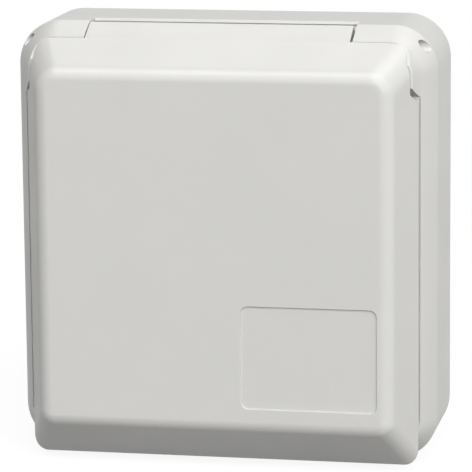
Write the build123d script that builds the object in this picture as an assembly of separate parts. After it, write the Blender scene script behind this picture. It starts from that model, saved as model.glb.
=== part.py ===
"""Outdoor weatherproof socket: a wall box with a top-hinged lid over a round three-pole socket.

Frame: the wall is the plane y = 0, the front looks towards -Y, +Z is up, x = 0 is the middle.
A depth is a distance in front of the wall, so a point at depth d has y = -d. Sizes are in mm.
"""

import os
from math import atan2, cos, degrees, radians, sin, tan

from build123d import *

# housing outline
WIDTH = 168.0
HEIGHT = 174.0
HALF_W = WIDTH / 2
HALF_H = HEIGHT / 2
CORNER_R = 17.5
WALL = 3.0
BACK_WALL = 3.0
LEDGE_WALL = 5.4

# depths of the main planes in front of the wall
LEDGE_D = 26.0
PARTING_D = 38.6
PANEL_BACK_D = 45.0
PANEL_FRONT_D = 48.0
RIM_D = 49.8
FRONT_D = 70.7

# front frame: its side leans in by RIM_INSET from the parting plane to the rim, a little rounded
RIM_INSET = 5.26
FRAME_CURVE = 0.25
RECESS_DROP = 18.0
RECESS_TOP = HALF_H - RECESS_DROP
FRAME_SEAL_H = 1.6
FRAME_STEPS = 3
RIM_WALL = 3.2
SKIRT_WALL = 2.0

# gaps
SEAM = 0.4
SKIRT_GAP = 0.2
RUNNING_GAP = 0.07
SEAT_GAP = 0.05
SCREW_PLAY = 0.3
PILOT_PLAY = 0.2
SEAL_GAP = 0.35
SWING_GAP = 0.35
# how far a cut runs on past the face it leaves
PAST = 1.0
# how near a point must be to count as on a face
TOUCH = 0.01

# soft edges along the seams and round the label place
LID_EDGE = 0.25
EAR_EDGE = 0.4
BOX_EDGE = 0.4
LABEL_EDGE = 0.3

# lid outline at its rim and the slopes of its sides
SIDE_STEP = 0.5
TOP_STEP = 0.24
BOTTOM_STEP = 0.2
LID_SIDE = HALF_W - RIM_INSET - SIDE_STEP
LID_TOP = HALF_H - RIM_INSET - TOP_STEP
LID_BOTTOM = -HALF_H + BOTTOM_STEP
LID_WALL = 3.0
LID_TOP_R = 11.0
LID_BOTTOM_R = 7.0
LID_SIDE_RUN = 8.44
LID_TOP_RUN = 10.0
LID_BOTTOM_RUN = 17.6
LID_ROUND = 6.6
LID_IN_ROUND = 3.0

# sunken label place on the lid
LABEL_WIDE = 53.6
LABEL_TALL = 40.9
LABEL_INSET = 19.5
LABEL_RISE = 25.9
LABEL_RIGHT = HALF_W - LABEL_INSET
LABEL_LEFT = LABEL_RIGHT - LABEL_WIDE
LABEL_LOW = -HALF_H + LABEL_RISE
LABEL_HIGH = LABEL_LOW + LABEL_TALL
LABEL_R = 2.8
LABEL_DEPTH = 0.7

# hinge: axis along X at this depth and height
HINGE_D = 41.6
HINGE_DROP = 7.8
HINGE_Z = HALF_H - HINGE_DROP
ROD_R = 2.5
ROD_INSET = 10.5
ROD_END = HALF_W - ROD_INSET
BARREL_R = 5.6
TONGUE_R = 7.65
TONGUE_INSET_LEFT = 29.55
TONGUE_INSET_RIGHT = 32.9
TONGUE_LEFT = -HALF_W + TONGUE_INSET_LEFT
TONGUE_RIGHT = HALF_W - TONGUE_INSET_RIGHT
TONGUE_BACK_D = 39.0
SLOT_LEFT = 0.5
SLOT_RIGHT = 1.1
EAR_LEFT = TONGUE_LEFT - SLOT_LEFT
EAR_RIGHT = TONGUE_RIGHT + SLOT_RIGHT
EAR_H = 6.1
EAR_FRONT_D = RIM_D + EAR_H
EAR_HIGH_DROP = 7.2
EAR_LOW_DROP = 13.5
EAR_STEP_HIGH = HALF_H - EAR_HIGH_DROP
EAR_STEP_LOW = HALF_H - EAR_LOW_DROP
EAR_R = 20.3
EAR_WALL = 3.0
EAR_CORE = 4.0
EAR_INSET = 11.4
EAR_IN_DROP = 12.0
EAR_IN = HALF_W - EAR_INSET
EAR_IN_R = 5.5
EAR_IN_TOP = HALF_H - EAR_IN_DROP
EAR_SEAM = 0.7
EAR_GAP_R = 2.2
ROOF_DROP = 3.0
WEB_REACH = 6.0
WEB_DROP = 4.5
TROUGH_R = 8.0
TROUGH_WALL = 2.2
EAR_LOW_RIM_R = 8.6

# relief behind the tongue, in the top wall of the box
RELIEF_LEFT = TONGUE_LEFT - SEAM
RELIEF_RIGHT = EAR_RIGHT
RELIEF_D = 30.0
RELIEF_LOW_D = 35.2

# closing spring
SPRING_WIRE_R = 0.5
SPRING_COIL_R = 3.3
SPRING_PITCH = 2.0
SPRING_TURNS = 5
SPRING_WIRE_SIDES = 8
SPRING_LID_ANGLE = 35.0
SPRING_FRAME_ANGLE = 40.0
SPRING_LID_REACH = 22.3
SPRING_FRAME_REACH = 5.9
SPRING_POCKET = 9.0
SPRING_POCKET_R = 4.2

# sealing rib and gasket of the lid
RIB_INSET = 14.0
RIB_DROP = 24.0
RIB_RISE = 10.0
RIB_SIDE = HALF_W - RIB_INSET
RIB_TOP = HALF_H - RIB_DROP
RIB_BOTTOM = -HALF_H + RIB_RISE
RIB_R = 9.0
RIB_WALL = 2.0
SEAL_LIP = 1.0
SEAL_DEPTH = 4.0
SEAL_GROOVE = 2.3

# columns and screws between frame and box
COLUMN_INSET = 23.0
COLUMN_DROP = 35.0
COLUMN_RISE = 19.0
COLUMN_X = HALF_W - COLUMN_INSET
COLUMN_HIGH = HALF_H - COLUMN_DROP
COLUMN_LOW = -HALF_H + COLUMN_RISE
COLUMN_R = 5.5
COLUMN_HOLE_D = 22.0
INSERT_R = 3.2
INSERT_LENGTH = 10.0
FRAME_SCREW_R = 2.0
FRAME_SCREW_LENGTH = 14.0
FRAME_HEAD_R = 4.0
FRAME_HEAD_H = 2.6
CROSS_LONG = 1.0
CROSS_WIDE = 0.3
CROSS_REACH = 0.6
HEAD_ROUND = 0.45

# wall screws
WALL_HOLE_INSET = 34.0
WALL_HOLE_DROP = 25.0
WALL_HOLE_X = HALF_W - WALL_HOLE_INSET
WALL_HOLE_Z = HALF_H - WALL_HOLE_DROP
WALL_HOLE_R = 2.75
WALL_PAD_R = 7.0
WALL_PAD_H = 1.5

# socket: collar, flange, contact carrier
SOCKET_Z = -8.0
COLLAR_IN_R = 22.25
COLLAR_OUT_R = 25.75
LID_ROOM = 3.2
COLLAR_FRONT_D = FRONT_D - LID_WALL - LID_ROOM
GROOVE_D = 28.0
KEY_WIDE = 7.0
KEY_DEEP = 2.4
KEY_WALL = 2.4
COLLAR_EDGE = 0.8
FLANGE = 76.0
FLANGE_R = 8.0
FLANGE_H = 4.0
FLANGE_SEAL = 1.0
FLANGE_HOLE = 30.0
FLANGE_BOSS_R = 4.2
FLANGE_BOSS_H = 8.0
FLANGE_SCREW_R = 1.8
FLANGE_SCREW_LENGTH = 13.0
FLANGE_HEAD_R = 3.4
FLANGE_HEAD_H = 2.4
PANEL_HOLE_GAP = 1.0
BOSS_R = 17.0
BOSS_SINK = 2.0
BOSS_FRONT_D = COLLAR_FRONT_D - BOSS_SINK
BASE_H = 4.0
RETAINER_R = 20.0
RETAINER_H = 2.5
RETAINER_HOLE_GAP = 0.2

# contacts: places on the pin circle, pin bore radii, sleeve sizes
PHASE_ANGLE = 30.0
NEUTRAL_ANGLE = 150.0
EARTH_ANGLE = 270.0
PIN_CIRCLE_R = 9.5
PIN_R = 2.5
EARTH_PIN_R = 3.5
PIN_PLAY = 0.05
PIN_ENTRY_PLAY = 0.35
SLEEVE_WALL = 1.2
SLEEVE_SINK = 4.0
SLEEVE_FRONT_D = BOSS_FRONT_D - SLEEVE_SINK
SLEEVE_BORE = 24.0
SLEEVE_SLOT = 14.0
SLEEVE_SLOT_WIDE = 0.8
SHOULDER = 0.9
SHOULDER_H = 2.0
TERMINAL_R = 4.2
TERMINAL_END_D = 6.0
WIRE_HOLE_R = 1.9
WIRE_HOLE_LENGTH = 10.0
CLAMP_SCREW_R = 1.5
CLAMP_HEAD_R = 2.4
CLAMP_HEAD_H = 1.6
CLAMP_REACH = 1.2
CLIP_WIRE = 0.7
CLIP_WIDE = 1.6
CLIP_SINK = 3.5
CLIP_D = SLEEVE_FRONT_D - CLIP_SINK
CLIP_SEAT = 0.03
CLIP_PLAY = 0.15
CARRIER_SCREW_CIRCLE = 13.2
CARRIER_SCREW_TURN = 38.0
CARRIER_SCREW_R = 1.25
CARRIER_SCREW_END = 36.0
CARRIER_HEAD_R = 2.3
CARRIER_HEAD_H = 1.6

# cable entry underneath
ENTRY_D = 14.0
ENTRY_HOLE_R = 8.2
GROMMET_LIP_R = 10.4
GROMMET_LIP_H = 2.0
GROMMET_INNER_LIP_R = 9.2
GROMMET_MOUTH_R = 6.2
GROMMET_NECK_R = 6.6
GROMMET_BORE_R = 4.5
GROMMET_NECK_H = 8.0


def rounded(x0, x1, z0, z1, low_r, high_r):
    """Flat rectangle with its lower and upper corners rounded."""
    flat = Pos((x0 + x1) / 2, (z0 + z1) / 2) * Rectangle(x1 - x0, z1 - z0)
    flat = fillet(flat.vertices().sort_by(Axis.Y)[:2], low_r)
    return fillet(flat.vertices().sort_by(Axis.Y)[-2:], high_r)


def at_depth(flat, d):
    """Stand a flat shape up, facing the front, at depth d."""
    return Plane.XZ.offset(d) * flat


def prism(flat, d0, d1):
    """Push a flat shape from depth d0 to depth d1."""
    return extrude(at_depth(flat, d0), amount=d1 - d0)


def outline(inset):
    """The housing's outline, drawn in by an inset."""
    return rounded(-HALF_W + inset, HALF_W - inset, -HALF_H + inset, HALF_H - inset,
                   CORNER_R - inset, CORNER_R - inset)


def block(x0, x1, d0, d1, z0, z1):
    """Box between two x, two depths and two heights."""
    return Pos((x0 + x1) / 2, -(d0 + d1) / 2, (z0 + z1) / 2) * Box(x1 - x0, d1 - d0, z1 - z0)


def along_x(radius, x0, x1, d=HINGE_D, z=HINGE_Z):
    """Round bar along X."""
    return Pos((x0 + x1) / 2, -d, z) * Rot(0, 90, 0) * Cylinder(radius, x1 - x0)


def along_y(radius, x, z, d0, d1):
    """Round bar along the depth."""
    return prism(Pos(x, z) * Circle(radius), d0, d1)


def side_shape(points, x0, x1):
    """A shape drawn in depth and height, pushed along X."""
    flat = make_face(Polyline(*[(0, -d, z) for d, z in points], close=True))
    return Pos(x0, 0, 0) * extrude(flat, amount=x1 - x0, dir=(1, 0, 0))


def frame_inset(d):
    """How far the frame's side has leaned in at depth d."""
    t = (d - PARTING_D) / (RIM_D - PARTING_D)
    return RIM_INSET * ((1 - FRAME_CURVE) * t + FRAME_CURVE * t * t)


def drafted(flat, d0, d1, inset):
    """Push a flat shape from depth d0 to d1 with its sides leaning in by an inset."""
    lean = degrees(atan2(inset, d1 - d0))
    return extrude(at_depth(flat, d0), amount=d1 - d0, taper=lean)


def frustum(rim, front, d0, d1):
    """Flat-sided form from the rim rectangle at depth d0 to the front rectangle at d1."""
    rings = []
    for (x0, x1, z0, z1), d in ((rim, d0), (front, d1)):
        rings.append([(x0, -d, z0), (x1, -d, z0), (x1, -d, z1), (x0, -d, z1)])
    back, fore = rings
    sides = [[back[i], back[i - 3], fore[i - 3], fore[i]] for i in range(4)]
    faces = [make_face(Polyline(*ring, close=True)).face() for ring in (back, fore, *sides)]
    return Solid(Shell(faces))


def slanted(form, d0, d1):
    """Straight edges that run from the rim to the front, the lowest first."""
    edges = [e for e in form.edges() if abs((e @ 1 - e @ 0).Y) > (d1 - d0) / 2]
    return ShapeList(edges).sort_by(Axis.Z)


def cross(x, z, d, reach):
    """Cross slot for a screwdriver, cut into a head whose top is at depth d."""
    arms = Pos(x, z) * Rectangle(2 * reach, 2 * CROSS_WIDE)
    arms += Pos(x, z) * Rectangle(2 * CROSS_WIDE, 2 * reach)
    return prism(arms, d - CROSS_LONG, d + CROSS_LONG)


def screw(x, z, shank_r, head_r, head_h, seat_d, length):
    """Pan-head screw driven from the front: its head sits on the plane at seat_d."""
    head = along_y(head_r, x, z, seat_d, seat_d + head_h)
    rim = head.edges().sort_by(Axis.Y)[0]
    head = fillet(rim, head_h * HEAD_ROUND)
    shank = along_y(shank_r, x, z, seat_d - length, seat_d)
    return head + shank - cross(x, z, seat_d + head_h, head_r * CROSS_REACH)


def rear_screw(x, z, shank_r, head_r, head_h, seat_d, length):
    """Pan-head screw driven from the rear: its head lies behind the plane at seat_d."""
    head = along_y(head_r, x, z, seat_d - head_h, seat_d)
    shank = along_y(shank_r, x, z, seat_d, seat_d + length)
    return head + shank - cross(x, z, seat_d - head_h, head_r * CROSS_REACH)


def many(shapes):
    """Several separate solids as one group."""
    return Compound(children=[s for shape in shapes for s in shape.solids()])


def spots(xs, zs):
    """All pairs of the given x and z."""
    return [(x, z) for x in xs for z in zs]


COLUMNS = spots((-COLUMN_X, COLUMN_X), (COLUMN_LOW, COLUMN_HIGH))
WALL_SPOTS = spots((-WALL_HOLE_X, WALL_HOLE_X), (-WALL_HOLE_Z, WALL_HOLE_Z))
FLANGE_SPOTS = spots((-FLANGE_HOLE, FLANGE_HOLE), (SOCKET_Z - FLANGE_HOLE, SOCKET_Z + FLANGE_HOLE))


def round_spot(radius, angle):
    """Place on a circle round the socket's middle."""
    return radius * cos(radians(angle)), SOCKET_Z + radius * sin(radians(angle))


CONTACTS = [(*round_spot(PIN_CIRCLE_R, angle), angle, pin_r)
            for angle, pin_r in ((PHASE_ANGLE, PIN_R), (NEUTRAL_ANGLE, PIN_R), (EARTH_ANGLE, EARTH_PIN_R))]
CARRIER_SPOTS = [round_spot(CARRIER_SCREW_CIRCLE, angle + CARRIER_SCREW_TURN)
                 for angle in (PHASE_ANGLE, NEUTRAL_ANGLE, EARTH_ANGLE)]
BASE_D = GROOVE_D - BASE_H
RETAINER_D = BASE_D - SHOULDER_H - SEAT_GAP - RETAINER_H
CLAMP_D = TERMINAL_END_D + WIRE_HOLE_LENGTH / 2
PANEL_HOLE_R = COLLAR_IN_R + KEY_DEEP + KEY_WALL + PANEL_HOLE_GAP
SKIRT_OUT = WALL + SKIRT_GAP
SKIRT_IN = SKIRT_OUT + SKIRT_WALL
EAR_START = EAR_IN - EAR_IN_R
LID_RIM_D = RIM_D + SEAM


def ear_zone(gap, radius, x0, x1):
    """Room taken by an ear, with its front, step and lower arc moved out by a gap."""
    room = side_shape(
        [(0, HALF_H), (RIM_D + gap, HALF_H), (RIM_D + gap, EAR_STEP_HIGH + gap),
         (EAR_FRONT_D + gap, EAR_STEP_LOW + gap), (EAR_FRONT_D + gap, 0), (0, 0)], x0, x1)
    return room & along_x(radius, x0 - PAST, x1 + PAST)


# outer form shared by the frame and the lid's tongue
FORM_DEPTHS = [PARTING_D + (RIM_D - PARTING_D) * i / FRAME_STEPS for i in range(FRAME_STEPS + 1)]
frame_form = Part() + [
    drafted(outline(frame_inset(d0)), d0, d1, frame_inset(d1) - frame_inset(d0))
    for d0, d1 in zip(FORM_DEPTHS, FORM_DEPTHS[1:])
]


def hood(inset, d0, d1, edge_r):
    """The lid's form between two depths, drawn in by an inset, its front edges rounded."""
    rim = (-LID_SIDE + inset, LID_SIDE - inset, LID_BOTTOM + inset, LID_TOP - inset)
    front = (rim[0] + LID_SIDE_RUN, rim[1] - LID_SIDE_RUN, rim[2] + LID_BOTTOM_RUN, rim[3] - LID_TOP_RUN)
    form = frustum(rim, front, d0, d1)
    form = fillet(slanted(form, d0, d1)[:2], LID_BOTTOM_R - inset / 2)
    form = fillet(slanted(form, d0, d1)[-2:], LID_TOP_R - inset / 2)
    return fillet(form.faces().sort_by(Axis.Y)[0].edges(), edge_r)


def edges_on(form, faces, y):
    """Edges of a form in the plane at y whose middle lies on one of the given faces."""
    found = [e for e in form.edges() if abs((e @ 0.5).Y - y) < TOUCH]
    return ShapeList([e for e in found if min(f.distance_to(e @ 0.5) for f in faces) < TOUCH])


def rib_ring(grow):
    """Outline of the lid's sealing rib as a flat ring, thickened by a gap."""
    inset = RIB_WALL + grow
    outer = rounded(-RIB_SIDE - grow, RIB_SIDE + grow, RIB_BOTTOM - grow, RIB_TOP + grow,
                    RIB_R + grow, RIB_R + grow)
    return outer - rounded(-RIB_SIDE + inset, RIB_SIDE - inset, RIB_BOTTOM + inset, RIB_TOP - inset,
                           RIB_R - inset, RIB_R - inset)


def make_lid():
    """Hollow lid with its hinge tongue, sealing rib and label place."""
    outer = hood(0, LID_RIM_D, FRONT_D, LID_ROUND)
    inner_d = FRONT_D - LID_WALL
    inner = hood(LID_WALL, LID_RIM_D, inner_d, LID_IN_ROUND)
    shell = outer - inner
    # room for the ears, and for their tops as the lid swings over them
    for x0, x1 in ((-HALF_W, -EAR_START + SEAM), (EAR_START - SEAM, HALF_W)):
        shell -= ear_zone(EAR_SEAM, EAR_R + EAR_GAP_R, x0, x1)
    shell -= along_x(EAR_LOW_RIM_R + SWING_GAP, -HALF_W, HALF_W)
    # hinge tongue: the barrel on the rod and the roof that runs back flush with the ears
    span = (TONGUE_LEFT, TONGUE_RIGHT)
    roof = along_x(TONGUE_R, *span) & side_shape(
        [(HINGE_D - TONGUE_R, HINGE_Z - ROOF_DROP), (HINGE_D + TONGUE_R, HINGE_Z),
         (HINGE_D + TONGUE_R, HALF_H), (HINGE_D - TONGUE_R, HALF_H)], *span)
    web = block(*span, PANEL_FRONT_D, LID_RIM_D + WEB_REACH, HINGE_Z - WEB_DROP, HALF_H)
    skin = drafted(outline(RIM_INSET), RIM_D, LID_RIM_D, TOP_STEP)
    tongue = (along_x(BARREL_R, *span) + roof + web) & (frame_form + skin + outer)
    tongue &= block(-HALF_W, HALF_W, TONGUE_BACK_D, FRONT_D, 0, HALF_H)
    tongue -= along_x(ROD_R + RUNNING_GAP, -HALF_W, HALF_W)
    # pocket for the spring
    pocket = (-SPRING_POCKET, SPRING_POCKET)
    tongue -= along_x(SPRING_POCKET_R, *pocket)
    tongue -= block(*pocket, 0, FRONT_D, 0, HINGE_Z)
    lid = shell + tongue
    # sealing rib
    rib_end = PANEL_FRONT_D + SEAL_GAP + SEAL_DEPTH - SEAL_GROOVE
    rib = prism(rib_ring(0), rib_end, inner_d + LID_WALL / 2)
    lid += rib & (outer + prism(rib_ring(0), rib_end, LID_RIM_D))
    label = rounded(LABEL_LEFT, LABEL_RIGHT, LABEL_LOW, LABEL_HIGH, LABEL_R, LABEL_R)
    sunk = prism(label, FRONT_D - LABEL_DEPTH, FRONT_D + PAST)
    lid -= sunk
    lid = fillet(edges_on(lid, outer.faces().sort_by(Axis.Y)[1:-1], -LID_RIM_D), LID_EDGE)
    return fillet(edges_on(lid, sunk.faces(), -FRONT_D), LABEL_EDGE)


def make_box():
    """Rear box: stepped walls, columns, wall-screw pads, cable hole, relief for the lid's tongue."""
    box = prism(outline(0), 0, PARTING_D)
    box = fillet(box.faces().sort_by(Axis.Y)[0].edges(), BOX_EDGE)
    box -= prism(outline(WALL), LEDGE_D, PARTING_D + PAST)
    box -= prism(outline(LEDGE_WALL), BACK_WALL, LEDGE_D + PAST)
    for x, z in COLUMNS:
        box += along_y(COLUMN_R, x, z, BACK_WALL, PANEL_BACK_D)
        box -= along_y(INSERT_R, x, z, PANEL_BACK_D - INSERT_LENGTH, PANEL_BACK_D + PAST)
        box -= along_y(FRAME_SCREW_R + PILOT_PLAY, x, z, COLUMN_HOLE_D, PANEL_BACK_D)
    for x, z in WALL_SPOTS:
        box += along_y(WALL_PAD_R, x, z, BACK_WALL, BACK_WALL + WALL_PAD_H)
        box -= along_y(WALL_HOLE_R, x, z, -PAST, BACK_WALL + WALL_PAD_H + PAST)
    drop = WALL / (RELIEF_LOW_D - RELIEF_D)
    end_d = PARTING_D + PAST
    high = HALF_H + PAST
    box -= side_shape([(RELIEF_D, HALF_H), (end_d, HALF_H - drop * (end_d - RELIEF_D)),
                       (end_d, high), (RELIEF_D, high)], RELIEF_LEFT, RELIEF_RIGHT)
    entry = Cylinder(ENTRY_HOLE_R, 2 * (LEDGE_WALL + PAST))
    return box - Pos(0, -ENTRY_D, -HALF_H) * entry


def spring_notch_z(d):
    """Height, at depth d, of a floor that runs just under the spring's lid leg."""
    lean = radians(SPRING_LID_ANGLE)
    under = SPRING_COIL_R + SPRING_WIRE_R + SWING_GAP
    return HINGE_Z - under / cos(lean) - (d - HINGE_D) * tan(lean)


def make_frame():
    """Sloped frame: panel, skirt into the box, hinge trough and ears."""
    ear_run = LID_SIDE_RUN / (FRONT_D - LID_RIM_D) * (EAR_FRONT_D - RIM_D)
    ear_form = drafted(outline(RIM_INSET), RIM_D, EAR_FRONT_D, ear_run)
    frame = frame_form + ear_form
    frame += prism(outline(SKIRT_OUT), LEDGE_D + FRAME_SEAL_H + SEAT_GAP, PARTING_D)
    # in front of the rim only the side walls of the ears stay, flush with the lid
    ahead = prism(outline(0), RIM_D, FRONT_D)
    hollow = prism(rounded(-EAR_IN, EAR_IN, -HALF_H, EAR_IN_TOP, EAR_WALL, EAR_IN_R), 0, FRONT_D)
    for x0, x1 in ((-HALF_W, -EAR_START), (EAR_START, HALF_W)):
        ahead -= ear_zone(0, EAR_R, x0, x1) - hollow
    frame -= ahead
    # hollow behind the panel, with the trough's wall and the ears' inner walls left standing in it
    inside = prism(outline(SKIRT_IN), 0, PANEL_BACK_D)
    inside -= along_x(TROUGH_R + TROUGH_WALL, EAR_LEFT - EAR_CORE, EAR_RIGHT + EAR_CORE)
    inside -= block(EAR_LEFT - EAR_CORE, EAR_LEFT, PARTING_D, RIM_D, RECESS_TOP, HALF_H)
    inside -= block(EAR_RIGHT, EAR_RIGHT + EAR_CORE, PARTING_D, RIM_D, RECESS_TOP, HALF_H)
    frame -= inside
    inner = RIM_INSET + RIM_WALL
    recess = rounded(-HALF_W + inner, HALF_W - inner, -HALF_H + inner, RECESS_TOP,
                     CORNER_R - inner, CORNER_R - inner)
    frame -= prism(recess, PANEL_FRONT_D, RIM_D + PAST)
    # trough round the lid's tongue, open at the top and the front
    frame -= along_x(TROUGH_R, EAR_LEFT, EAR_RIGHT)
    frame -= block(EAR_LEFT, EAR_RIGHT, PARTING_D, RIM_D + PAST, HINGE_Z, HALF_H + PAST)
    frame -= block(EAR_LEFT, EAR_RIGHT, PANEL_FRONT_D, RIM_D + PAST, RECESS_TOP - PAST, HALF_H + PAST)
    frame -= along_x(ROD_R + SEAT_GAP, -HALF_W, HALF_W)
    # notch in the trough's lip for the spring's leg
    end_d = PANEL_FRONT_D + PAST
    frame -= side_shape([(HINGE_D, spring_notch_z(HINGE_D)), (end_d, spring_notch_z(end_d)),
                         (end_d, HINGE_Z), (HINGE_D, HINGE_Z)], -SPRING_POCKET, -SPRING_POCKET / 2)
    # holes and bosses for the socket and the screws
    for x, z in FLANGE_SPOTS:
        frame += along_y(FLANGE_BOSS_R, x, z, PANEL_BACK_D - FLANGE_BOSS_H, PANEL_BACK_D)
        frame -= along_y(FLANGE_SCREW_R + SEAT_GAP, x, z, 0, FRONT_D)
    frame -= along_y(PANEL_HOLE_R, 0, SOCKET_Z, 0, FRONT_D)
    for x, z in COLUMNS:
        frame -= along_y(FRAME_SCREW_R + PILOT_PLAY, x, z, 0, FRONT_D)
    # soft outer edge at the front of the ears
    return chamfer(edges_on(frame, ear_form.faces().sort_by(Axis.Y)[1:-1], -EAR_FRONT_D), EAR_EDGE)


def make_spring():
    """Torsion spring on the rod: one leg rests on the lid's rib, the other in the trough."""
    turns = SPRING_TURNS + (360 - SPRING_LID_ANGLE - SPRING_FRAME_ANGLE) / 360
    length = SPRING_PITCH * turns
    coil = Helix(SPRING_PITCH, length, SPRING_COIL_R)
    start = Line(coil @ 0 - (coil % 0) * SPRING_LID_REACH, coil @ 0)
    end = Line(coil @ 1, coil @ 1 + (coil % 1) * SPRING_FRAME_REACH)
    path = Wire([*start.edges(), *coil.edges(), *end.edges()])
    section = Plane(origin=path @ 0, z_dir=path % 0) * RegularPolygon(SPRING_WIRE_R, SPRING_WIRE_SIDES)
    wire = sweep(section, path=path, is_frenet=True)
    place = Plane(origin=(-length / 2, -HINGE_D, HINGE_Z), x_dir=(0, 0, -1), z_dir=(1, 0, 0))
    return place * Rot(0, 0, SPRING_LID_ANGLE) * wire


def make_collar():
    """Plug collar with a keyway at its foot and the square flange on the panel."""
    d0 = PANEL_FRONT_D + FLANGE_SEAL
    flange = Pos(0, SOCKET_Z) * RectangleRounded(FLANGE, FLANGE, FLANGE_R)
    collar = along_y(COLLAR_OUT_R, 0, SOCKET_Z, GROOVE_D, COLLAR_FRONT_D)
    key_end = COLLAR_IN_R + KEY_DEEP
    key_out = key_end + KEY_WALL
    half = KEY_WIDE / 2
    collar += block(-half - KEY_WALL, half + KEY_WALL, GROOVE_D, COLLAR_FRONT_D,
                    SOCKET_Z - key_out, SOCKET_Z)
    collar += prism(flange, d0, d0 + FLANGE_H)
    collar -= along_y(COLLAR_IN_R, 0, SOCKET_Z, 0, FRONT_D)
    collar -= block(-half, half, 0, FRONT_D, SOCKET_Z - key_end, SOCKET_Z)
    for x, z in FLANGE_SPOTS:
        collar -= along_y(FLANGE_SCREW_R + SCREW_PLAY, x, z, 0, FRONT_D)
    mouth = collar.edges().filter_by(GeomType.CIRCLE).group_by(Axis.Y)[0]
    return chamfer(mouth, COLLAR_EDGE)


def make_flange_gasket():
    """Flat seal under the flange."""
    flat = Pos(0, SOCKET_Z) * RectangleRounded(FLANGE, FLANGE, FLANGE_R)
    flat -= Pos(0, SOCKET_Z) * Circle(PANEL_HOLE_R)
    for x, z in FLANGE_SPOTS:
        flat -= Pos(x, z) * Circle(FLANGE_SCREW_R + SCREW_PLAY)
    return prism(flat, PANEL_FRONT_D, PANEL_FRONT_D + FLANGE_SEAL)


def sleeve_r(pin_r):
    """Outer radius of the sleeve for a pin."""
    return pin_r + PIN_PLAY + SLEEVE_WALL


def third(angle):
    """A third of the room in front of the base, round one contact, a seat gap clear of the next third."""
    x, z = round_spot(SEAT_GAP, angle)
    reach = 3 * BOSS_R
    ends = [(x + reach * cos(radians(turn)), z + reach * sin(radians(turn)))
            for turn in (angle - 60, angle + 60)]
    return prism(make_face(Polyline((x, z), *ends, close=True)), GROOVE_D, FRONT_D)


def make_carrier():
    """Round boss in three segments, each with a stepped hole for one sleeve."""
    carrier = along_y(BOSS_R, 0, SOCKET_Z, GROOVE_D, BOSS_FRONT_D)
    carrier = chamfer(carrier.edges().sort_by(Axis.Y)[0], COLLAR_EDGE)
    for x, z, angle, pin_r in CONTACTS:
        carrier -= along_y(sleeve_r(pin_r) + CLIP_WIRE + CLIP_PLAY, x, z, 0, SLEEVE_FRONT_D)
        carrier -= along_y(pin_r + PIN_ENTRY_PLAY, x, z, 0, FRONT_D)
    for x, z in CARRIER_SPOTS:
        carrier -= along_y(CARRIER_SCREW_R + SEAT_GAP, x, z, 0, CARRIER_SCREW_END + PAST)
    return many([carrier & third(angle) for x, z, angle, pin_r in CONTACTS])


def make_base():
    """Disc that closes the collar's rear and centres the sleeves."""
    base = along_y(COLLAR_OUT_R, 0, SOCKET_Z, BASE_D, GROOVE_D)
    for x, z, angle, pin_r in CONTACTS:
        base -= along_y(sleeve_r(pin_r) + SEAT_GAP, x, z, 0, FRONT_D)
    for x, z in CARRIER_SPOTS:
        base -= along_y(CARRIER_SCREW_R + SCREW_PLAY, x, z, 0, FRONT_D)
    return base


def make_retainer():
    """Plate behind the sleeves' shoulders."""
    plate = along_y(RETAINER_R, 0, SOCKET_Z, RETAINER_D, RETAINER_D + RETAINER_H)
    for x, z, angle, pin_r in CONTACTS:
        plate -= along_y(TERMINAL_R + RETAINER_HOLE_GAP, x, z, 0, FRONT_D)
    for x, z in CARRIER_SPOTS:
        plate -= along_y(CARRIER_SCREW_R + SCREW_PLAY, x, z, 0, FRONT_D)
    return plate


def outward(shape, x, z, angle):
    """Turn a shape drawn along X to point away from the socket's middle, at one contact."""
    return Pos(x, -CLAMP_D, z) * Rot(0, -angle, 0) * shape


def make_contact(x, z, angle, pin_r):
    """Slotted sleeve, shoulder and terminal in one turned piece."""
    out = sleeve_r(pin_r)
    contact = along_y(out, x, z, BASE_D, SLEEVE_FRONT_D)
    contact += along_y(out + SHOULDER, x, z, BASE_D - SHOULDER_H, BASE_D)
    contact += along_y(TERMINAL_R, x, z, TERMINAL_END_D, BASE_D - SHOULDER_H)
    contact -= along_y(pin_r + PIN_PLAY, x, z, SLEEVE_FRONT_D - SLEEVE_BORE, FRONT_D)
    contact -= block(x - out - PAST, x + out + PAST, SLEEVE_FRONT_D - SLEEVE_SLOT, FRONT_D,
                     z - SLEEVE_SLOT_WIDE / 2, z + SLEEVE_SLOT_WIDE / 2)
    contact -= along_y(WIRE_HOLE_R, x, z, 0, TERMINAL_END_D + WIRE_HOLE_LENGTH)
    thread = along_x(CLAMP_SCREW_R + SEAT_GAP, 0, TERMINAL_R + PAST, 0, 0)
    return contact - outward(thread, x, z, angle)


def make_clamp_screw(x, z, angle):
    """Screw that clamps the wire in one terminal."""
    seat = TERMINAL_R + SEAT_GAP
    top = seat + CLAMP_HEAD_H
    body = along_x(CLAMP_SCREW_R, CLAMP_REACH, seat, 0, 0)
    body += along_x(CLAMP_HEAD_R, seat, top, 0, 0)
    slot = Pos(top, 0, 0) * Box(CROSS_LONG, 2 * CROSS_WIDE, 2 * (CLAMP_HEAD_R + PAST))
    return outward(body - slot, x, z, angle)


def make_clip(x, z, pin_r):
    """Spring ring round one slotted sleeve."""
    r = sleeve_r(pin_r) + CLIP_SEAT
    ring = Pos(x, z) * (Circle(r + CLIP_WIRE) - Circle(r))
    return prism(ring, CLIP_D, CLIP_D + CLIP_WIDE)


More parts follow.
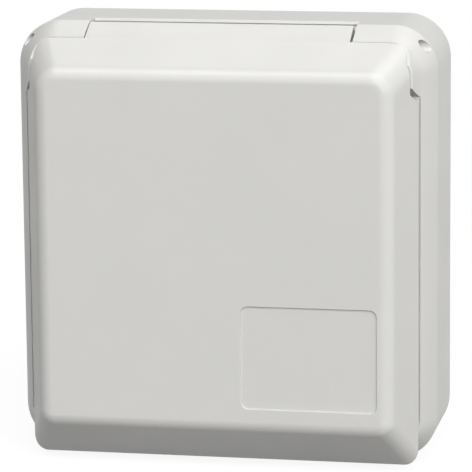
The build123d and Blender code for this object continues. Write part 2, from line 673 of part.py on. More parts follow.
def make_grommet():
    """Rubber grommet: outer lip, waist in the wall, inner lip and a sealing neck with the cable bore."""
    top = -HALF_H + LEDGE_WALL
    profile = [
        (GROMMET_MOUTH_R, -HALF_H - GROMMET_LIP_H), (GROMMET_LIP_R, -HALF_H - GROMMET_LIP_H),
        (GROMMET_LIP_R, -HALF_H), (ENTRY_HOLE_R - SEAT_GAP, -HALF_H), (ENTRY_HOLE_R - SEAT_GAP, top),
        (GROMMET_INNER_LIP_R, top), (GROMMET_INNER_LIP_R, top + GROMMET_LIP_H),
        (GROMMET_NECK_R, top + GROMMET_LIP_H), (GROMMET_NECK_R, top + GROMMET_NECK_H),
        (GROMMET_BORE_R, top + GROMMET_NECK_H),
        (GROMMET_BORE_R, top + SEAT_GAP), (GROMMET_MOUTH_R, top + SEAT_GAP)]
    flat = make_face(Polyline(*[(r, 0, z) for r, z in profile], close=True))
    return Pos(0, -ENTRY_D, 0) * revolve(flat, Axis.Z)


def make_lid_gasket():
    """Soft strip pushed over the lid's sealing rib."""
    d0 = PANEL_FRONT_D + SEAL_GAP
    seal = prism(rib_ring(SEAL_LIP), d0, d0 + SEAL_DEPTH)
    return seal - prism(rib_ring(SEAT_GAP), d0 + SEAL_DEPTH - SEAL_GROOVE, FRONT_D)


PARTS = {
    "lid": make_lid(),
    "lid_gasket": make_lid_gasket(),
    "back_box": make_box(),
    "front_frame": make_frame(),
    "frame_gasket": prism(outline(SKIRT_OUT) - outline(LEDGE_WALL - SEAT_GAP),
                          LEDGE_D, LEDGE_D + FRAME_SEAL_H),
    "frame_screws": many([
        screw(x, z, FRAME_SCREW_R, FRAME_HEAD_R, FRAME_HEAD_H, PANEL_FRONT_D, FRAME_SCREW_LENGTH)
        for x, z in COLUMNS]),
    "column_inserts": many([
        prism(Pos(x, z) * (Circle(INSERT_R - SEAT_GAP) - Circle(FRAME_SCREW_R + SEAT_GAP)),
              PANEL_BACK_D - INSERT_LENGTH, PANEL_BACK_D)
        for x, z in COLUMNS]),
    "hinge_rod": along_x(ROD_R, -ROD_END, ROD_END),
    "lid_spring": make_spring(),
    "socket_collar": make_collar(),
    "flange_gasket": make_flange_gasket(),
    "flange_screws": many([
        screw(x, z, FLANGE_SCREW_R, FLANGE_HEAD_R, FLANGE_HEAD_H,
              PANEL_FRONT_D + FLANGE_SEAL + FLANGE_H, FLANGE_SCREW_LENGTH)
        for x, z in FLANGE_SPOTS]),
    "contact_carrier": make_carrier(),
    "carrier_base": make_base(),
    "phase_contact": make_contact(*CONTACTS[0]),
    "neutral_contact": make_contact(*CONTACTS[1]),
    "earth_contact": make_contact(*CONTACTS[2]),
    "contact_clips": many([make_clip(x, z, pin_r) for x, z, angle, pin_r in CONTACTS]),
    "contact_retainer": make_retainer(),
    "carrier_screws": many([
        rear_screw(x, z, CARRIER_SCREW_R, CARRIER_HEAD_R, CARRIER_HEAD_H, RETAINER_D,
                   CARRIER_SCREW_END - RETAINER_D)
        for x, z in CARRIER_SPOTS]),
    "terminal_screws": many([make_clamp_screw(x, z, angle) for x, z, angle, pin_r in CONTACTS]),
    "entry_grommet": make_grommet(),
}

os.makedirs("parts", exist_ok=True)
for node, shape in PARTS.items():
    export_step(shape, f"parts/{node}.step")
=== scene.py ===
"""Finishes and studio for an outdoor weatherproof socket: wall box, sloped frame, hinged lid, round socket.

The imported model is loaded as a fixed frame. Each operator finishes one group of its pieces, and the last
one sets up the studio with the camera.
"""

import math

import bmesh
import bpy
from bpy.props import FloatProperty, FloatVectorProperty, PointerProperty
from mathutils import Matrix, Vector


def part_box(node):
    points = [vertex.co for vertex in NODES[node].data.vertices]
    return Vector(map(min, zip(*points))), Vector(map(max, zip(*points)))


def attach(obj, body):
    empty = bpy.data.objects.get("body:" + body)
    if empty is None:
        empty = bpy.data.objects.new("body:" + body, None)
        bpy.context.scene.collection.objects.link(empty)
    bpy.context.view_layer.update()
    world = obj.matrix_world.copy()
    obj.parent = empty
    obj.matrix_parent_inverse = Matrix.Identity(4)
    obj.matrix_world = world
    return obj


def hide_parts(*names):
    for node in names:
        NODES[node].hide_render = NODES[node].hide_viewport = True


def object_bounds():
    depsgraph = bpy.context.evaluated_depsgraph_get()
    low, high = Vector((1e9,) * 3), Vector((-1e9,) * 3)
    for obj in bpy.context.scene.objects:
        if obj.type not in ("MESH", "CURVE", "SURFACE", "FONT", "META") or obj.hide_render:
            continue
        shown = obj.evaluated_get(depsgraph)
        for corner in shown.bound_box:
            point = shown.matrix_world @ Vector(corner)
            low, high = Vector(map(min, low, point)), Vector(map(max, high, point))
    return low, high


bl_info = {
    "name": "Weatherproof Socket Finishes",
    "version": (1, 0, 0),
    "blender": (4, 5, 0),
    "location": "View3D > Sidebar > Socket",
    "description": "Finishes the pieces of an outdoor weatherproof socket and sets up its studio",
    "category": "Object",
}

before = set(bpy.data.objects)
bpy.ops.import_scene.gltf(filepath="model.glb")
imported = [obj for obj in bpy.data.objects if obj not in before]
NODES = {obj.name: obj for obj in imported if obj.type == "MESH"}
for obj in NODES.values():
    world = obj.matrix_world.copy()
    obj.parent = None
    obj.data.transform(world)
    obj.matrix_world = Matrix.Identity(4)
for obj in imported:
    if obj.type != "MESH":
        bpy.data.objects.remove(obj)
CAD_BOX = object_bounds()

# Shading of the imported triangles
MERGE_DISTANCE = 1e-6
CRISP_ANGLE = math.radians(25.0)

# Shadow seam in the frame's rim at each side of the lid
RIM_FROM_WALL = 0.0498
SEAM_WIDTH = 0.00042
SEAM_DEPTH = 0.0009
SEAM_FROM_LID = 0.0002
SEAM_LOW = -0.0695
SEAM_HIGH = 0.0600

# Groove in the box's slope behind the hinge tongue. Front and back are distances from the wall
GROOVE_LEFT = -0.05485
GROOVE_RIGHT = 0.05220
GROOVE_FRONT = 0.0335
GROOVE_BACK = 0.0306
GROOVE_DROP = 0.0010
GROOVE_WIDTH = 0.00065

# Moulded plastic and rubber
PLASTIC_IOR = 1.5
GLOSS_SPREAD = 0.05
PIGMENT_PATCHES = 35.0
PIGMENT_RANGE = (-0.35, 0.95)
GRAIN_IN_PIGMENT = 0.35
PIT_WEIGHT = 0.6

# Worked metal: roughness limits, and the tone of dull patches as a share of the bright tone
PLATING_PATCHES = 180.0
PLATING_RANGE = (-0.5, 1.4)
MARK_STRETCH = (0.25, 1.0, 0.25)
MARK_SHARE = 0.5
MARK_RELIEF = 0.00001
ZINC_ROUGH = (0.22, 0.42)
ZINC_DULL = 0.75
WIRE_ROUGH = (0.25, 0.40)
WIRE_DULL = 0.7
BRASS_ROUGH = (0.18, 0.38)

# Studio: each direction points from the object to a lamp, and the sensor's width is in millimetres
SUN_DISTANCE = 2.0
KEY_FROM = (0.27, -0.79, 0.55)
SIDE_FROM = (0.97, -0.10, 0.20)
GLINT_DISTANCE = 1.6
TOP_FROM = (0.10, 0.45, 0.88)
TOP_SIZE = (1.7, 0.6)
EDGE_FROM = (0.15, -0.28, 0.95)
EDGE_SIZE = (2.0, 0.5)
FLOOR_RADIUS = 1.0
FLOOR_SEGMENTS = 96
FLOOR_DROP = 0.0005
FLOOR_FADE = (0.25, 0.9)
SENSOR_WIDTH = 36.0
CLIP_START = 0.05

# Distance between neighbours in a node tree
NODE_SPACING = (220, 180)


# Settings


class HousingLook(bpy.types.PropertyGroup):
    """Moulded plastic of the wall box, the frame and the lid."""

    colour: FloatVectorProperty(
        name="Plastic colour", description="Colour of the light grey moulded plastic",
        subtype="COLOR", size=3, min=0.0, max=1.0, default=(0.585, 0.580, 0.560))
    shade: FloatVectorProperty(
        name="Plastic shade", description="Slightly darker tone in the uneven pigment",
        subtype="COLOR", size=3, min=0.0, max=1.0, default=(0.560, 0.556, 0.538))
    grain: FloatProperty(
        name="Grain size", description="Width of one grain of the eroded mould surface",
        unit="LENGTH", min=0.0001, max=0.005, default=0.0007)
    relief: FloatProperty(
        name="Grain relief", description="Height of the grain",
        unit="LENGTH", min=0.0, max=0.001, default=0.00002)
    rough: FloatProperty(
        name="Roughness", description="Mean roughness of the moulded surface",
        subtype="FACTOR", min=0.0, max=1.0, default=0.44)


class SealLook(bpy.types.PropertyGroup):
    """Black rubber of the seals and the cable grommet."""

    colour: FloatVectorProperty(
        name="Rubber colour", description="Colour of the seals and the grommet",
        subtype="COLOR", size=3, min=0.0, max=1.0, default=(0.022, 0.022, 0.024))
    bloom: FloatVectorProperty(
        name="Bloom colour", description="Greyish bloom on the rubber",
        subtype="COLOR", size=3, min=0.0, max=1.0, default=(0.050, 0.050, 0.052))
    grain: FloatProperty(
        name="Grain size", description="Width of one grain of the rubber",
        unit="LENGTH", min=0.0001, max=0.005, default=0.0005)
    relief: FloatProperty(
        name="Grain relief", description="Height of the rubber's grain",
        unit="LENGTH", min=0.0, max=0.001, default=0.00004)
    rough: FloatProperty(
        name="Roughness", description="Mean roughness of the rubber",
        subtype="FACTOR", min=0.0, max=1.0, default=0.72)


class MetalLook(bpy.types.PropertyGroup):
    """Plated steel and brass."""

    steel: FloatVectorProperty(
        name="Steel colour", description="Colour of the zinc-plated screws and the hinge rod",
        subtype="COLOR", size=3, min=0.0, max=1.0, default=(0.56, 0.57, 0.58))
    wire: FloatVectorProperty(
        name="Wire colour", description="Colour of the drawn spring wire",
        subtype="COLOR", size=3, min=0.0, max=1.0, default=(0.42, 0.42, 0.43))
    brass: FloatVectorProperty(
        name="Brass colour", description="Colour of the turned contacts and the inserts",
        subtype="COLOR", size=3, min=0.0, max=1.0, default=(0.70, 0.50, 0.20))
    tarnish: FloatVectorProperty(
        name="Tarnish colour", description="Dull tone in the brass",
        subtype="COLOR", size=3, min=0.0, max=1.0, default=(0.42, 0.28, 0.10))
    brush: FloatProperty(
        name="Turning marks", description="Spacing of the fine marks on the metal",
        unit="LENGTH", min=0.00005, max=0.002, default=0.00035)


class InsertLook(bpy.types.PropertyGroup):
    """Plastics of the round socket."""

    collar: FloatVectorProperty(
        name="Collar colour", description="Blue of the plug collar and its base",
        subtype="COLOR", size=3, min=0.0, max=1.0, default=(0.020, 0.085, 0.300))
    collar_shade: FloatVectorProperty(
        name="Collar shade", description="Darker tone in the blue pigment",
        subtype="COLOR", size=3, min=0.0, max=1.0, default=(0.015, 0.068, 0.250))
    collar_rough: FloatProperty(
        name="Collar roughness", description="Mean roughness of the blue plastic",
        subtype="FACTOR", min=0.0, max=1.0, default=0.40)
    carrier: FloatVectorProperty(
        name="Carrier colour", description="Black of the contact carrier and its rear plate",
        subtype="COLOR", size=3, min=0.0, max=1.0, default=(0.028, 0.028, 0.030))
    carrier_shade: FloatVectorProperty(
        name="Carrier shade", description="Lighter tone in the black pigment",
        subtype="COLOR", size=3, min=0.0, max=1.0, default=(0.042, 0.042, 0.044))
    carrier_rough: FloatProperty(
        name="Carrier roughness", description="Mean roughness of the black plastic",
        subtype="FACTOR", min=0.0, max=1.0, default=0.45)
    grain: FloatProperty(
        name="Grain size", description="Width of one grain of both plastics",
        unit="LENGTH", min=0.0001, max=0.005, default=0.0006)
    relief: FloatProperty(
        name="Grain relief", description="Height of the grain of both plastics",
        unit="LENGTH", min=0.0, max=0.001, default=0.000015)


class StudioLook(bpy.types.PropertyGroup):
    """Camera, lamps, floor and background."""

    camera_place: FloatVectorProperty(
        name="Camera place", description="Where the camera stands",
        subtype="TRANSLATION", size=3, default=(0.2503, -1.2766, 0.2482))
    camera_swing: FloatProperty(
        name="Camera swing", description="Angle of the view to the left of straight ahead",
        unit="ROTATION", default=math.radians(11.29))
    camera_dip: FloatProperty(
        name="Camera dip", description="Angle of the view below the horizon",
        unit="ROTATION", default=math.radians(11.06))
    camera_roll: FloatProperty(
        name="Camera roll", description="Turn of the camera about its line of sight",
        unit="ROTATION", default=math.radians(-0.55))
    camera_lens: FloatProperty(
        name="Focal length", description="Focal length on a 36 mm wide sensor",
        unit="CAMERA", min=1.0, default=246.36)
    key_strength: FloatProperty(
        name="Key light", description="Strength of the soft light from the front, above and to the right",
        min=0.0, default=3.25)
    side_strength: FloatProperty(
        name="Side light", description="Strength of the soft light on the right side",
        min=0.0, default=0.95)
    sun_spread: FloatProperty(
        name="Light spread", description="Angle over which the key light and the side light come in",
        unit="ROTATION", min=0.0, default=math.radians(60.0))
    top_power: FloatProperty(
        name="Top lamp", description="Power of the highlight lamp above and behind the object",
        unit="POWER", min=0.0, default=12.5)
    edge_power: FloatProperty(
        name="Edge lamp", description="Power of the highlight lamp along the lid's upper edge",
        unit="POWER", min=0.0, default=34.0)
    room_light: FloatProperty(
        name="Room light", description="Even light of the room on the object",
        min=0.0, default=0.19)
    floor_colour: FloatVectorProperty(
        name="Floor colour", description="Colour of the matt floor under its glow",
        subtype="COLOR", size=3, min=0.0, max=1.0, default=(0.15, 0.15, 0.15))
    floor_lift: FloatProperty(
        name="Floor lift", description="Glow that brings the floor near to the background's white",
        min=0.0, default=0.90)


class SocketLook(bpy.types.PropertyGroup):
    """All settings of the socket."""

    housing: PointerProperty(type=HousingLook, name="Housing", description="Moulded housing plastic")
    seals: PointerProperty(type=SealLook, name="Seals", description="Rubber of seals and grommet")
    metal: PointerProperty(type=MetalLook, name="Metal", description="Steel and brass")
    insert: PointerProperty(type=InsertLook, name="Socket insert", description="Plastics of the socket")
    studio: PointerProperty(type=StudioLook, name="Studio", description="Camera and light")


# Node helpers


def add_node(tree, kind, place, **values):
    """A node of the given kind, with its plain attributes set."""
    made = tree.nodes.new(kind)
    made.location = (place[0] * NODE_SPACING[0], -place[1] * NODE_SPACING[1])
    for name, value in values.items():
        setattr(made, name, value)
    return made


def group_with(name, inputs, outputs):
    """A new shader node group with float sockets, and its two end nodes."""
    tree = bpy.data.node_groups.new(name, "ShaderNodeTree")
    for title, default in inputs:
        socket = tree.interface.new_socket(title, in_out="INPUT", socket_type="NodeSocketFloat")
        socket.default_value = default
    for title in outputs:
        tree.interface.new_socket(title, in_out="OUTPUT", socket_type="NodeSocketFloat")
    return tree, add_node(tree, "NodeGroupInput", (-4, 0)), add_node(tree, "NodeGroupOutput", (6, 0))


def modifier_tree(name):
    """A new geometry node group for a modifier, with one shape going in and one coming out."""
    tree = bpy.data.node_groups.new(name, "GeometryNodeTree")
    tree.is_modifier = True
    for end in ("INPUT", "OUTPUT"):
        tree.interface.new_socket("Geometry", in_out=end, socket_type="NodeSocketGeometry")
    return tree


def ramp_between(tree, value, low, high, place):
    """A value from 0 to 1 spread between two numbers."""
    spread = add_node(tree, "ShaderNodeMapRange", place)
    tree.links.new(value, spread.inputs["Value"])
    spread.inputs["To Min"].default_value = low
    spread.inputs["To Max"].default_value = high
    return spread.outputs["Result"]


def give_gloss(tree, value, start, end, place):
    """Give out a group's roughness, spread by a value between the group's two limits."""
    gloss = add_node(tree, "ShaderNodeMapRange", place)
    tree.links.new(value, gloss.inputs["Value"])
    tree.links.new(start.outputs["Rough Low"], gloss.inputs["To Min"])
    tree.links.new(start.outputs["Rough High"], gloss.inputs["To Max"])
    tree.links.new(gloss.outputs["Result"], end.inputs["Roughness"])


# Materials


def moulded_grain():
    """Group: uneven pigment, patchy gloss and fine grain of a moulded surface."""
    name = "Moulded grain"
    if name in bpy.data.node_groups:
        return bpy.data.node_groups[name]
    tree, start, end = group_with(
        name,
        (("Grain Scale", 1400.0), ("Patch Scale", PIGMENT_PATCHES), ("Rough Low", 0.4), ("Rough High", 0.5)),
        ("Pigment", "Roughness", "Height"))
    place = add_node(tree, "ShaderNodeTexCoord", (-4, 2))
    fine = add_node(tree, "ShaderNodeTexNoise", (-2, 0))
    fine.inputs["Detail"].default_value = 3.0
    fine.inputs["Roughness"].default_value = 0.6
    pits = add_node(tree, "ShaderNodeTexVoronoi", (-2, 2), feature="SMOOTH_F1")
    pits.inputs["Smoothness"].default_value = 0.6
    patch = add_node(tree, "ShaderNodeTexNoise", (-2, 4))
    patch.inputs["Detail"].default_value = 4.0
    for texture, scale in ((fine, "Grain Scale"), (pits, "Grain Scale"), (patch, "Patch Scale")):
        tree.links.new(place.outputs["Object"], texture.inputs["Vector"])
        tree.links.new(start.outputs[scale], texture.inputs["Scale"])
    height = add_node(tree, "ShaderNodeMath", (0, 0), operation="MULTIPLY_ADD")
    height.inputs[1].default_value = PIT_WEIGHT
    tree.links.new(pits.outputs["Distance"], height.inputs[0])
    tree.links.new(fine.outputs["Fac"], height.inputs[2])
    tree.links.new(height.outputs["Value"], end.inputs["Height"])
    pigment = add_node(tree, "ShaderNodeMath", (0, 2), operation="MULTIPLY_ADD", use_clamp=True)
    pigment.inputs[1].default_value = GRAIN_IN_PIGMENT
    tree.links.new(fine.outputs["Fac"], pigment.inputs[0])
    tree.links.new(ramp_between(tree, patch.outputs["Fac"], *PIGMENT_RANGE, (0, 4)), pigment.inputs[2])
    tree.links.new(pigment.outputs["Value"], end.inputs["Pigment"])
    give_gloss(tree, pigment.outputs["Value"], start, end, (2, 4))
    return tree


def worked_metal():
    """Group: fine tool marks, patchy plating and gloss of a small metal piece."""
    name = "Worked metal"
    if name in bpy.data.node_groups:
        return bpy.data.node_groups[name]
    tree, start, end = group_with(
        name,
        (("Mark Scale", 2800.0), ("Patch Scale", PLATING_PATCHES), ("Rough Low", 0.2), ("Rough High", 0.4)),
        ("Patch", "Roughness", "Height"))
    place = add_node(tree, "ShaderNodeTexCoord", (-4, 2))
    stretch = add_node(tree, "ShaderNodeMapping", (-3, 1))
    stretch.inputs["Scale"].default_value = MARK_STRETCH
    tree.links.new(place.outputs["Object"], stretch.inputs["Vector"])
    marks = add_node(tree, "ShaderNodeTexNoise", (-2, 0))
    marks.inputs["Detail"].default_value = 2.0
    tree.links.new(stretch.outputs["Vector"], marks.inputs["Vector"])
    tree.links.new(start.outputs["Mark Scale"], marks.inputs["Scale"])
    patch = add_node(tree, "ShaderNodeTexNoise", (-2, 3))
    patch.inputs["Detail"].default_value = 5.0
    tree.links.new(place.outputs["Object"], patch.inputs["Vector"])
    tree.links.new(start.outputs["Patch Scale"], patch.inputs["Scale"])
    clouds = ramp_between(tree, patch.outputs["Fac"], *PLATING_RANGE, (0, 3))
    tree.links.new(clouds, end.inputs["Patch"])
    tree.links.new(marks.outputs["Fac"], end.inputs["Height"])
    mixed = add_node(tree, "ShaderNodeMath", (1, 2), operation="MULTIPLY_ADD", use_clamp=True)
    mixed.inputs[1].default_value = MARK_SHARE
    tree.links.new(marks.outputs["Fac"], mixed.inputs[0])
    tree.links.new(ramp_between(tree, clouds, 0.0, 1.0 - MARK_SHARE, (1, 4)), mixed.inputs[2])
    give_gloss(tree, mixed.outputs["Value"], start, end, (3, 2))
    return tree


def finish(name, surface, tones, scales, rough, relief):
    """A material and its shader: two tones mixed by the surface group's mask, its roughness and its bump."""
    made = bpy.data.materials.new(name)
    made.use_nodes = True
    tree = made.node_tree
    shader = tree.nodes["Principled BSDF"]
    detail = add_node(tree, "ShaderNodeGroup", (-4, 0), node_tree=surface)
    for socket, value in zip(detail.inputs, (*scales, *rough)):
        socket.default_value = value
    tone = add_node(tree, "ShaderNodeMix", (-2, 0), data_type="RGBA")
    tone.inputs["A"].default_value = (*tones[0], 1.0)
    tone.inputs["B"].default_value = (*tones[1], 1.0)
    tree.links.new(detail.outputs[0], tone.inputs["Factor"])
    tree.links.new(tone.outputs["Result"], shader.inputs["Base Color"])
    tree.links.new(detail.outputs["Roughness"], shader.inputs["Roughness"])
    bump = add_node(tree, "ShaderNodeBump", (-2, 3))
    bump.inputs["Distance"].default_value = relief
    tree.links.new(detail.outputs["Height"], bump.inputs["Height"])
    tree.links.new(bump.outputs["Normal"], shader.inputs["Normal"])
    return made, shader


def plastic(name, tones, rough, grain, relief):
    """Moulded plastic or rubber with a fine eroded grain."""
    limits = (rough - GLOSS_SPREAD, rough + GLOSS_SPREAD)
    made, shader = finish(name, moulded_grain(), tones, (1.0 / grain, PIGMENT_PATCHES), limits, relief)
    shader.inputs["IOR"].default_value = PLASTIC_IOR
    return made


def metal(name, tones, rough, marks):
    """Small worked metal piece."""
    made, shader = finish(name, worked_metal(), tones, (1.0 / marks, PLATING_PATCHES), rough, MARK_RELIEF)
    shader.inputs["Metallic"].default_value = 1.0
    return made


# Shading and cuts


def even_shading():
    """Modifier that joins a piece's loose triangles and shades its rounds evenly up to each crisp edge."""
    name = "Even shading"
    if name in bpy.data.node_groups:
        return bpy.data.node_groups[name]
    tree = modifier_tree(name)
    shape = add_node(tree, "NodeGroupInput", (-5, 0)).outputs[0]
    merge = add_node(tree, "GeometryNodeMergeByDistance", (-4, 0))
    merge.inputs["Distance"].default_value = MERGE_DISTANCE
    faces = add_node(tree, "GeometryNodeSetShadeSmooth", (-3, 0), domain="FACE")
    rounds = add_node(tree, "GeometryNodeSetShadeSmooth", (-2, 0), domain="EDGE")
    crisp = add_node(tree, "GeometryNodeSetShadeSmooth", (-1, 0), domain="EDGE")
    for step in (faces, rounds):
        step.inputs["Shade Smooth"].default_value = True
    crisp.inputs["Shade Smooth"].default_value = False
    for step in (merge, faces, rounds, crisp):
        tree.links.new(shape, step.inputs["Geometry"])
        shape = step.outputs["Geometry"]
    turn = add_node(tree, "GeometryNodeInputMeshEdgeAngle", (-3, 2))
    sharp = add_node(tree, "FunctionNodeCompare", (-2, 2), data_type="FLOAT", operation="GREATER_THAN")
    sharp.inputs["B"].default_value = CRISP_ANGLE
    tree.links.new(turn.outputs["Unsigned Angle"], sharp.inputs["A"])
    tree.links.new(sharp.outputs["Result"], crisp.inputs["Selection"])
    tree.links.new(shape, add_node(tree, "NodeGroupOutput", (0, 0)).inputs[0])
    return tree


def bar_cuts(name, bars):
    """Modifier that cuts straight bars out of a piece, each given by its lowest and highest corner."""
    tree = modifier_tree(name)
    cut = add_node(tree, "GeometryNodeMeshBoolean", (0, 0), operation="DIFFERENCE", solver="EXACT")
    tree.links.new(add_node(tree, "NodeGroupInput", (-3, 0)).outputs[0], cut.inputs["Mesh 1"])
    for row, (low, high) in enumerate(bars):
        bar = add_node(tree, "GeometryNodeMeshCube", (-3, 2 + row))
        bar.inputs["Size"].default_value = Vector(high) - Vector(low)
        move = add_node(tree, "GeometryNodeTransform", (-2, 2 + row))
        move.inputs["Translation"].default_value = (Vector(low) + Vector(high)) / 2
        tree.links.new(bar.outputs["Mesh"], move.inputs["Geometry"])
        tree.links.new(move.outputs["Geometry"], cut.inputs["Mesh 2"])
    tree.links.new(cut.outputs["Mesh"], add_node(tree, "NodeGroupOutput", (1, 0)).inputs[0])
    return tree


def seam_bars():
    """The narrow shadow gaps beside the lid, in the frame's rim."""
    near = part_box("lid")[1].x + SEAM_FROM_LID
    far = near + SEAM_WIDTH
    front, back = -RIM_FROM_WALL - SEAM_DEPTH, -RIM_FROM_WALL + SEAM_DEPTH
    return (((near, front, SEAM_LOW), (far, back, SEAM_HIGH)),
            ((-far, front, SEAM_LOW), (-near, back, SEAM_HIGH)))


def groove_bars():
    """The thin groove in the box's slope behind the hinge tongue, which shows as a line over its crest."""
    high = CAD_BOX[1].z - GROOVE_DROP
    return (((GROOVE_LEFT, -GROOVE_FRONT, high - GROOVE_WIDTH), (GROOVE_RIGHT, -GROOVE_BACK, high)),)


def coat(piece, material):
    """Give a piece a finish and even shading."""
    piece.data.materials.clear()
    piece.data.materials.append(material)
    piece.modifiers.new("Even shading", "NODES").node_group = even_shading()
    piece.modifiers.new("Flat faces", "WEIGHTED_NORMAL").keep_sharp = True


def dress(material, *names):
    """Coat CAD pieces."""
    for name in names:
        coat(NODES[name], material)


def recut(node, name, bars):
    """Merged copy of a CAD piece of the housing with bars cut out of it, which stands for that piece."""
    mesh = bpy.data.meshes.new(name)
    shell = bmesh.new()
    shell.from_mesh(NODES[node].data)
    bmesh.ops.remove_doubles(shell, verts=shell.verts, dist=MERGE_DISTANCE)
    shell.to_mesh(mesh)
    shell.free()
    piece = bpy.data.objects.new(name, mesh)
    bpy.context.scene.collection.objects.link(piece)
    piece.modifiers.new("Cuts", "NODES").node_group = bar_cuts(name, bars)
    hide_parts(node)
    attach(piece, "housing")
    return piece


# Pieces


class SOCKETBOX_OT_housing(bpy.types.Operator):
    """Finish the wall box, the sloped frame and the lid as light grey moulded plastic"""

    bl_idname = "socketbox.housing"
    bl_label = "Housing"

    def execute(self, context):
        look = context.scene.socket_look.housing
        grey = plastic("Light grey plastic", (look.colour, look.shade), look.rough, look.grain, look.relief)
        dress(grey, "lid")
        coat(recut("front_frame", "seamed_frame", seam_bars()), grey)
        coat(recut("back_box", "grooved_box", groove_bars()), grey)
        return {"FINISHED"}


class SOCKETBOX_OT_seals(bpy.types.Operator):
    """Finish the three seals and the cable grommet as black rubber"""

    bl_idname = "socketbox.seals"
    bl_label = "Seals and grommet"

    def execute(self, context):
        look = context.scene.socket_look.seals
        rubber = plastic("Black rubber", (look.colour, look.bloom), look.rough, look.grain, look.relief)
        dress(rubber, "lid_gasket", "frame_gasket", "flange_gasket", "entry_grommet")
        return {"FINISHED"}


class SOCKETBOX_OT_fasteners(bpy.types.Operator):
    """Finish the screws and the hinge rod as zinc-plated steel"""

    bl_idname = "socketbox.fasteners"
    bl_label = "Screws and hinge rod"

    def execute(self, context):
        look = context.scene.socket_look.metal
        dull = [ZINC_DULL * part for part in look.steel]
        zinc = metal("Zinc-plated steel", (look.steel, dull), ZINC_ROUGH, look.brush)
        dress(zinc, "frame_screws", "flange_screws", "carrier_screws", "terminal_screws", "hinge_rod")
        return {"FINISHED"}


class SOCKETBOX_OT_springs(bpy.types.Operator):
    """Finish the lid spring and the contact clips as drawn wire"""

    bl_idname = "socketbox.springs"
    bl_label = "Springs"

    def execute(self, context):
        look = context.scene.socket_look.metal
        dull = [WIRE_DULL * part for part in look.wire]
        wire = metal("Drawn spring wire", (look.wire, dull), WIRE_ROUGH, look.brush)
        dress(wire, "lid_spring", "contact_clips")
        return {"FINISHED"}


class SOCKETBOX_OT_contacts(bpy.types.Operator):
    """Finish the contacts and the column inserts as turned brass"""

    bl_idname = "socketbox.contacts"
    bl_label = "Contacts and inserts"

    def execute(self, context):
        look = context.scene.socket_look.metal
        brass = metal("Turned brass", (look.brass, look.tarnish), BRASS_ROUGH, look.brush)
        dress(brass, "phase_contact", "neutral_contact", "earth_contact", "column_inserts")
        return {"FINISHED"}


class SOCKETBOX_OT_insert(bpy.types.Operator):
    """Finish the plug collar in blue and the contact carrier in black plastic"""

    bl_idname = "socketbox.insert"
    bl_label = "Round socket"

    def execute(self, context):
        look = context.scene.socket_look.insert
        blue = plastic("Blue plastic", (look.collar, look.collar_shade), look.collar_rough,
                       look.grain, look.relief)
        dress(blue, "socket_collar", "carrier_base")
        black = plastic("Black plastic", (look.carrier, look.carrier_shade), look.carrier_rough,
                        look.grain, look.relief)
        dress(black, "contact_carrier", "contact_retainer")
        return {"FINISHED"}


# Studio


def lamp_from(direction, distance, data):
    """Lamp that faces the object from the given direction."""
    lamp = bpy.data.objects.new(data.name, data)
    towards = Vector(direction).normalized()
    lamp.location = towards * distance
    lamp.rotation_euler = towards.to_track_quat("Z", "Y").to_euler()
    bpy.context.scene.collection.objects.link(lamp)
    return lamp


def sun_from(name, direction, strength, spread):
    """Soft light that comes in evenly from one direction."""
    data = bpy.data.lights.new(name, "SUN")
    data.energy = strength
    data.angle = spread
    lamp_from(direction, SUN_DISTANCE, data)


def glint_from(name, direction, power, size):
    """Rectangular lamp that adds a highlight to the gloss and no light to the colour."""
    data = bpy.data.lights.new(name, "AREA")
    data.energy = power
    data.shape = "RECTANGLE"
    data.size, data.size_y = size
    lamp_from(direction, GLINT_DISTANCE, data).visible_diffuse = False


def seen_directly(tree, place):
    """1 for what the camera sees directly, in a mirror or through glass, 0 for light on the object."""
    path = add_node(tree, "ShaderNodeLightPath", place)
    total = path.outputs["Is Camera Ray"]
    for step, kind in enumerate(("Is Glossy Ray", "Is Transmission Ray")):
        both = add_node(tree, "ShaderNodeMath", (place[0] + 1 + step, place[1]), operation="MAXIMUM")
        tree.links.new(total, both.inputs[0])
        tree.links.new(path.outputs[kind], both.inputs[1])
        total = both.outputs["Value"]
    return total


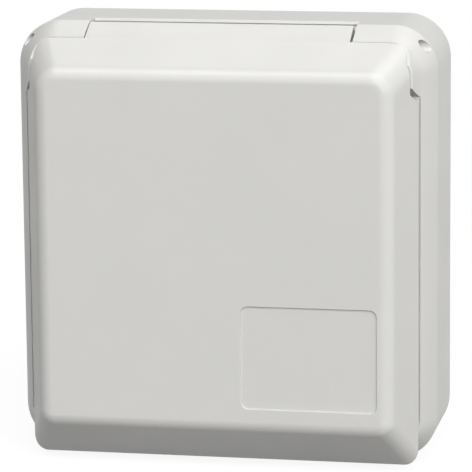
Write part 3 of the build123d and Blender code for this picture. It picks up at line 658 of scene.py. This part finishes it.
def floor_paint(look):
    """Matt floor with a glow for the eye, which fades into the background towards the rim."""
    paint = bpy.data.materials.new("Pale floor")
    paint.use_nodes = True
    tree = paint.node_tree
    tree.nodes.remove(tree.nodes["Principled BSDF"])
    out = tree.nodes["Material Output"]
    matt = add_node(tree, "ShaderNodeBsdfDiffuse", (-4, 0))
    matt.inputs["Color"].default_value = (*look.floor_colour, 1.0)
    glow = add_node(tree, "ShaderNodeEmission", (-4, 1))
    lift = add_node(tree, "ShaderNodeMath", (-5, 2), operation="MULTIPLY")
    lift.inputs[1].default_value = look.floor_lift
    tree.links.new(seen_directly(tree, (-9, 2)), lift.inputs[0])
    tree.links.new(lift.outputs["Value"], glow.inputs["Strength"])
    lit = add_node(tree, "ShaderNodeAddShader", (-3, 0))
    tree.links.new(matt.outputs["BSDF"], lit.inputs[0])
    tree.links.new(glow.outputs["Emission"], lit.inputs[1])
    where = add_node(tree, "ShaderNodeTexCoord", (-7, 4))
    reach = add_node(tree, "ShaderNodeVectorMath", (-6, 4), operation="LENGTH")
    tree.links.new(where.outputs["Object"], reach.inputs[0])
    fade = add_node(tree, "ShaderNodeMapRange", (-5, 4), interpolation_type="SMOOTHSTEP")
    fade.inputs["From Min"].default_value = FLOOR_FADE[0]
    fade.inputs["From Max"].default_value = FLOOR_FADE[1]
    tree.links.new(reach.outputs["Value"], fade.inputs["Value"])
    clear = add_node(tree, "ShaderNodeBsdfTransparent", (-3, 2))
    blend = add_node(tree, "ShaderNodeMixShader", (-1, 0))
    tree.links.new(fade.outputs["Result"], blend.inputs["Fac"])
    tree.links.new(lit.outputs["Shader"], blend.inputs[1])
    tree.links.new(clear.outputs["BSDF"], blend.inputs[2])
    tree.links.new(blend.outputs["Shader"], out.inputs["Surface"])
    return paint


class SOCKETBOX_OT_studio(bpy.types.Operator):
    """Set up the floor, the white background, the lamps and the camera"""

    bl_idname = "socketbox.studio"
    bl_label = "Studio"

    def execute(self, context):
        look = context.scene.socket_look.studio
        scene = context.scene
        scene.view_settings.view_transform = "Standard"
        self.make_world(scene, look)
        self.make_floor(scene, look)
        self.make_lamps(look)
        self.make_camera(scene, look)
        return {"FINISHED"}

    def make_world(self, scene, look):
        """White to the eye, dim to the object."""
        world = bpy.data.worlds.new("White room")
        world.use_nodes = True
        tree = world.node_tree
        light = tree.nodes["Background"]
        light.inputs["Color"].default_value = (1.0, 1.0, 1.0, 1.0)
        strength = ramp_between(tree, seen_directly(tree, (-5, 2)), look.room_light, 1.0, (-1, 2))
        tree.links.new(strength, light.inputs["Strength"])
        scene.world = world

    def make_lamps(self, look):
        """Soft light from the front and on the right side, and two highlights on the upper edges."""
        sun_from("Key light", KEY_FROM, look.key_strength, look.sun_spread)
        sun_from("Side light", SIDE_FROM, look.side_strength, look.sun_spread)
        glint_from("Top lamp", TOP_FROM, look.top_power, TOP_SIZE)
        glint_from("Edge lamp", EDGE_FROM, look.edge_power, EDGE_SIZE)

    def make_floor(self, scene, look):
        """Round floor just under the object."""
        mesh = bpy.data.meshes.new("Floor")
        disc = bmesh.new()
        under = Matrix.Translation((0.0, 0.0, CAD_BOX[0].z - FLOOR_DROP))
        bmesh.ops.create_circle(disc, cap_ends=True, segments=FLOOR_SEGMENTS, radius=FLOOR_RADIUS,
                                matrix=under)
        disc.to_mesh(mesh)
        disc.free()
        mesh.materials.append(floor_paint(look))
        floor = bpy.data.objects.new("Floor", mesh)
        scene.collection.objects.link(floor)

    def make_camera(self, scene, look):
        """Camera at the photograph's place and angle."""
        data = bpy.data.cameras.new("Camera")
        data.sensor_width = SENSOR_WIDTH
        data.lens = look.camera_lens
        data.clip_start = CLIP_START
        camera = bpy.data.objects.new("Camera", data)
        turn = (Matrix.Rotation(look.camera_swing, 4, "Z")
                @ Matrix.Rotation(math.pi / 2 - look.camera_dip, 4, "X")
                @ Matrix.Rotation(look.camera_roll, 4, "Z"))
        camera.matrix_world = Matrix.Translation(look.camera_place) @ turn
        scene.collection.objects.link(camera)
        scene.camera = camera


# Sidebar and registration

STEPS = (SOCKETBOX_OT_housing, SOCKETBOX_OT_seals, SOCKETBOX_OT_fasteners, SOCKETBOX_OT_springs,
         SOCKETBOX_OT_contacts, SOCKETBOX_OT_insert, SOCKETBOX_OT_studio)


class SOCKETBOX_PT_sidebar(bpy.types.Panel):
    """Lists the finishing steps and their settings"""

    bl_idname = "SOCKETBOX_PT_sidebar"
    bl_label = "Weatherproof Socket"
    bl_space_type = "VIEW_3D"
    bl_region_type = "UI"
    bl_category = "Socket"

    def draw(self, context):
        look = context.scene.socket_look
        for step in STEPS:
            self.layout.operator(step.bl_idname)
        for title in look.__annotations__:
            group = getattr(look, title)
            box = self.layout.box()
            box.label(text=title.capitalize())
            for name in group.__annotations__:
                box.prop(group, name)


CLASSES = (HousingLook, SealLook, MetalLook, InsertLook, StudioLook, SocketLook, *STEPS, SOCKETBOX_PT_sidebar)


def register():
    for entry in CLASSES:
        bpy.utils.register_class(entry)
    bpy.types.Scene.socket_look = PointerProperty(type=SocketLook, name="Socket look",
                                                  description="Settings of the weatherproof socket")


def unregister():
    del bpy.types.Scene.socket_look
    for entry in reversed(CLASSES):
        bpy.utils.unregister_class(entry)


def main():
    """Finish every piece and set up the studio."""
    register()
    bpy.ops.socketbox.housing()
    bpy.ops.socketbox.seals()
    bpy.ops.socketbox.fasteners()
    bpy.ops.socketbox.springs()
    bpy.ops.socketbox.contacts()
    bpy.ops.socketbox.insert()
    bpy.ops.socketbox.studio()


if __name__ == "__main__":
    main()
